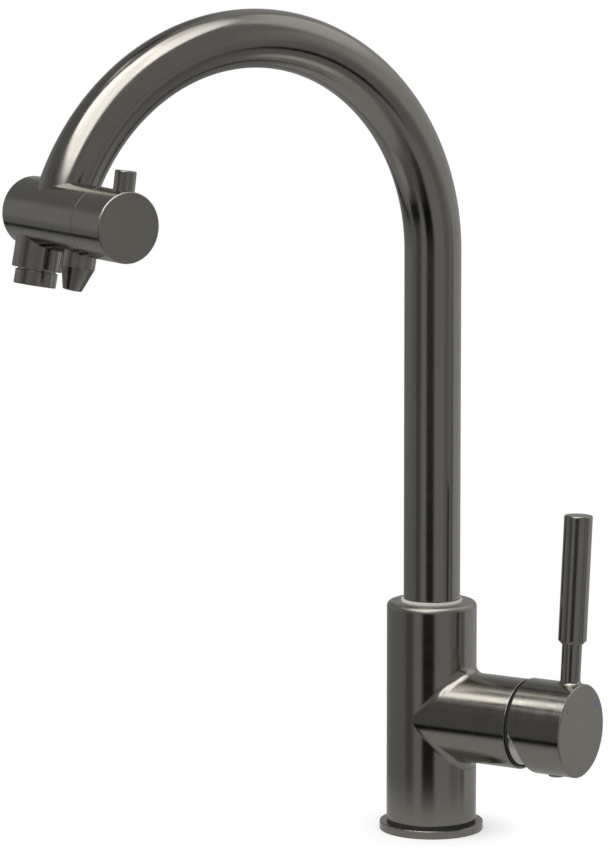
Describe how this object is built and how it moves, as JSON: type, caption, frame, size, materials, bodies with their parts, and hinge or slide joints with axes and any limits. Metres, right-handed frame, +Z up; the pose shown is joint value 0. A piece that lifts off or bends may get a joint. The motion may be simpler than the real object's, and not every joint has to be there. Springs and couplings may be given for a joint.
{
  "type": "kitchen mixer tap",
  "caption": "Tall kitchen mixer tap with a round swivel spout, a side lever for hot and cold water, and a knob at the spout's tip for filtered water.",
  "frame": {"origin": "centre of the base on the worktop, on the spout's swivel axis, midway between the fixing studs", "axes": "+Z up along the body and the swivel axis, +X along the side arm towards the mixing handle, -Y the way the spout faces before its swing; at rest the spout is swung 24 degrees from -Y towards -X, away from the handle"},
  "size_m": [0.2024, 0.2599, 0.4125],
  "materials": {
    "brushed_nickel": "brushed dark nickel, satin",
    "bright_chrome": "polished",
    "pale_plastic": "matt acetal",
    "grey_plastic": "matt",
    "rubber": "matt black",
    "brass": "machined",
    "plain_steel": "turned",
    "steel_pipe": "drawn",
    "cartridge_plastic": "moulded",
    "ceramic": "lapped",
    "red_enamel": "gloss",
    "blue_enamel": "gloss"
  },
  "bodies": {
    "body": {"base_ring": "brushed_nickel", "base_gasket": "rubber", "foot_seal": "rubber", "inlet_block": "brass", "filter_pipe_seal": "rubber", "tap_body": "brushed_nickel", "spout_lock_screw": "plain_steel", "glide_ring": "pale_plastic", "cartridge_seals": "rubber", "cartridge_base": "cartridge_plastic", "fixed_disc": "ceramic", "cartridge_housing": "cartridge_plastic", "cartridge_nut": "brass", "dome_collar": "bright_chrome", "dome_seal": "rubber"},
    "mix_carrier": {"lever_carrier": "cartridge_plastic", "lever_pivot": "plain_steel"},
    "disc": {"moving_disc": "ceramic", "disc_driver": "cartridge_plastic"},
    "handle": {"cartridge_lever": "plain_steel", "handle_cap": "brushed_nickel", "handle_screw": "plain_steel", "handle_plug": "grey_plastic", "hot_dot": "red_enamel", "cold_dot": "blue_enamel", "lever_stem": "brushed_nickel", "lever_grip": "brushed_nickel"},
    "spout": {"spout_tube": "brushed_nickel", "spout_sleeve": "brass", "spout_seals": "rubber", "filter_pipe": "steel_pipe", "outlet_head": "brushed_nickel", "aerator_collar": "brushed_nickel", "aerator_washer": "rubber", "aerator_insert": "pale_plastic", "aerator_shell": "brushed_nickel", "filter_nozzle": "brushed_nickel", "valve_body": "brass", "valve_seal": "rubber", "valve_fixed_disc": "ceramic"},
    "knob": {"valve_moving_disc": "ceramic", "valve_spindle": "brass", "filter_knob": "brushed_nickel", "knob_pin": "brushed_nickel", "knob_screw": "plain_steel"}
  },
  "joints": [
    {"name": "spout_swivel", "type": "hinge", "parent": "body", "child": "spout", "pos_m": [0, 0, 0.1], "axis": [0, 0, 1], "continuous": true},
    {"name": "filter_turn", "type": "hinge", "parent": "spout", "child": "knob", "pos_m": [-0.0868, -0.19495, 0.32082], "axis": [0.9135, -0.4067, 0], "range_deg": [0, 90]},
    {"name": "mix_turn", "type": "hinge", "parent": "body", "child": "mix_carrier", "pos_m": [0, 0, 0.0589], "axis": [1, 0, 0], "range_deg": [-42, 48]},
    {"name": "lever_lift", "type": "hinge", "parent": "mix_carrier", "child": "handle", "pos_m": [0.041, 0, 0.0589], "axis": [0, 0.9986, -0.0523], "range_deg": [0, 25]},
    {"name": "disc_slide", "type": "slide", "parent": "mix_carrier", "child": "disc", "axis": [0, 0.0523, 0.9986], "range_m": [0, 0.0022]}
  ],
  "couplings": [
    {"joint": "disc_slide", "follows": "lever_lift", "m_per_rad": 0.005}
  ]
}
